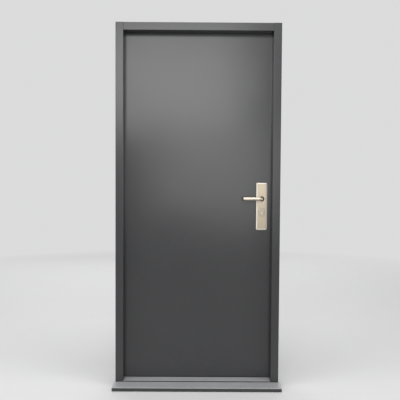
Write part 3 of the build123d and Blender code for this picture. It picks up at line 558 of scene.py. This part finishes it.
def makeCoil():
    low, high = [Vector(corner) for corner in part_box("follower_spring")]
    middle = (low + high) / 2
    thick = coil["wire"] / 2
    radius = (high.x - low.x) / 2 - thick
    rise = high.z - low.z - coil["wire"]
    mesh = bmesh.new()
    rings = []
    for step in range(coil["turns"] * coil["steps"] + 1):
        turned = step / coil["steps"]
        share = (turned - coil["closed"]) / (coil["turns"] - 2 * coil["closed"])
        angle = 2 * math.pi * turned
        outward = Vector((math.cos(angle), math.sin(angle), 0))
        height = low.z + thick + rise * min(max(share, 0), 1)
        centre = Vector((middle.x, middle.y, height)) + outward * radius
        around = [2 * math.pi * side / coil["sides"] for side in range(coil["sides"])]
        section = [outward * math.cos(turn) + Vector((0, 0, math.sin(turn))) for turn in around]
        rings.append([mesh.verts.new(centre + spoke * thick) for spoke in section])
    for first, second in zip(rings, rings[1:]):
        for i, vert in enumerate(first):
            j = (i + 1) % len(first)
            mesh.faces.new((vert, first[j], second[j], second[i]))
    mesh.faces.new(rings[0])
    mesh.faces.new(rings[-1])
    bmesh.ops.recalc_face_normals(mesh, faces=mesh.faces)
    data = bpy.data.meshes.new("follower_spring_coil")
    mesh.to_mesh(data)
    mesh.free()
    data.polygons.foreach_set("use_smooth", [True] * len(data.polygons))
    data.set_sharp_from_angle(angle=math.radians(50))
    data.materials.append(finishes["zincPlate"])
    piece = bpy.data.objects.new("follower_spring_coil", data)
    bpy.context.scene.collection.objects.link(piece)
    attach(piece, next(body for body, members in bodies.items() if "follower_spring" in members))
    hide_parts("follower_spring")
    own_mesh(piece)


makeCoil()
print("spring wound:", coil["turns"], "turns")


# the floor and the light of a plain studio
studio = {
    "floorRadius": 14,
    "floorFade": (1.6, 6),  # where the floor starts and ends melting into the backdrop
    "floorDrop": 0.0005,
    "floorColour": (0.6, 0.6, 0.6),
    "worldColour": (0.99, 0.99, 1.0),
    "worldLight": 0.4,
    "backdrop": 0.72,
}


def makeFloor():
    mesh = bpy.data.meshes.new("floor")
    disc = bmesh.new()
    bmesh.ops.create_circle(disc, cap_ends=True, segments=96, radius=studio["floorRadius"])
    disc.to_mesh(mesh)
    disc.free()
    floor = bpy.data.objects.new("floor", mesh)
    floor.location.z = -studio["floorDrop"]
    bpy.context.scene.collection.objects.link(floor)
    ground = Finish("ground", Roughness=0.85)
    paler = [value * 1.03 for value in studio["floorColour"]]
    ground.feed(Base_Color=ground.blendColours(ground.noise(3, 5), studio["floorColour"], paler))
    near, far = studio["floorFade"]
    away = ground.node("ShaderNodeVectorMath", {"operation": "LENGTH"}, {0: ground.place})["Value"]
    clear = ground.node("ShaderNodeBsdfTransparent", {}, {})[0]
    fade = {0: ground.ramp((away - near) / (far - near), (0, 0), (1, 1)), 1: ground.surface[0], 2: clear}
    melted = ground.node("ShaderNodeMixShader", {}, fade)[0]
    ground.tree.links.new(melted.socket, ground.output.node.inputs["Surface"])
    mesh.materials.append(ground.material)


def makeWorld():
    world = bpy.data.worlds.new("studio")
    world.use_nodes = True
    board = Board(world.node_tree)
    board.tree.nodes.clear()
    path = board.node("ShaderNodeLightPath", {}, {})
    seen = (path["Is Camera Ray"] + path["Is Glossy Ray"] + path["Is Transmission Ray"]).held()
    strength = studio["worldLight"] + seen * (studio["backdrop"] - studio["worldLight"])
    shown = {"Color": withAlpha(studio["worldColour"]), "Strength": strength}
    sky = board.node("ShaderNodeBackground", {}, shown)
    board.node("ShaderNodeOutputWorld", {}, {"Surface": sky[0]})
    bpy.context.scene.world = world


# soft boxes: where they stand, what they face, their size and how bright their cloth is
lamps = {
    "frontHigh": {"at": (-0.5, -4.5, 2.9), "aim": (-0.5, 0, 2.9), "size": (2.6, 1.7), "glow": 5.6},
    "frontTop": {"at": (0.4, -4.5, 4.1), "aim": (0.4, 0, 4.1), "size": (3.4, 0.7), "glow": 2.2},
    "frontLow": {"at": (0.25, -4.5, 1.45), "aim": (0.25, 0, 1.45), "size": (1.9, 1.5), "glow": 2.9},
    "above": {"at": (0, -0.7, 4.6), "aim": (0, -0.4, 0.2), "size": (3.0, 1.2), "glow": 8.0},
    "leftSide": {"at": (-3.4, -1.4, 1.7), "aim": (0, 0, 1.2), "size": (1.4, 2.2), "glow": 3.0},
    "rightSide": {"at": (3.4, -1.4, 1.7), "aim": (0, 0, 1.2), "size": (1.4, 2.2), "glow": 3.0},
    "behind": {"at": (-0.6, 4.4, 2.6), "aim": (0, 0, 1.1), "size": (6.4, 3.8), "glow": 1.7},
}
leaning = {"frontLow": -16}  # degrees that a box leans to one side


def makeLamp(name, lamp):
    light = bpy.data.lights.new(name, "AREA")
    light.shape = "RECTANGLE"
    light.size, light.size_y = lamp["size"]
    light.energy = lamp["glow"] * math.pi * light.size * light.size_y
    holder = bpy.data.objects.new(name, light)
    facing = (Vector(lamp["aim"]) - Vector(lamp["at"])).to_track_quat("-Z", "Y").to_matrix().to_4x4()
    lean = Matrix.Rotation(math.radians(leaning.get(name, 0)), 4, "Z")
    holder.matrix_world = Matrix.Translation(lamp["at"]) @ facing @ lean
    holder.visible_camera = False
    bpy.context.scene.collection.objects.link(holder)


# the camera, at the photograph's viewing angle
eye = {
    "at": (0.0072, -2.7514, 1.1961),
    "yaw": 0.11,  # degrees towards the lock side
    "pitch": -1.86,
    "roll": 0.34,
    "lens": 42.3,
    "sensor": 36,
}


def makeCamera():
    camera = bpy.data.cameras.new("eye")
    camera.lens = eye["lens"]
    camera.sensor_width = eye["sensor"]
    holder = bpy.data.objects.new("eye", camera)
    turn = Matrix.Rotation(math.radians(-eye["yaw"]), 4, "Z")
    tilt = Matrix.Rotation(math.radians(90 + eye["pitch"]), 4, "X")
    lean = Matrix.Rotation(math.radians(eye["roll"]), 4, "Z")
    holder.matrix_world = Matrix.Translation(eye["at"]) @ turn @ tilt @ lean
    bpy.context.scene.collection.objects.link(holder)
    bpy.context.scene.camera = holder


makeFloor()
makeWorld()
for name, lamp in lamps.items():
    makeLamp(name, lamp)
makeCamera()
bpy.context.scene.view_settings.view_transform = "Standard"
print("studio lit and camera set")
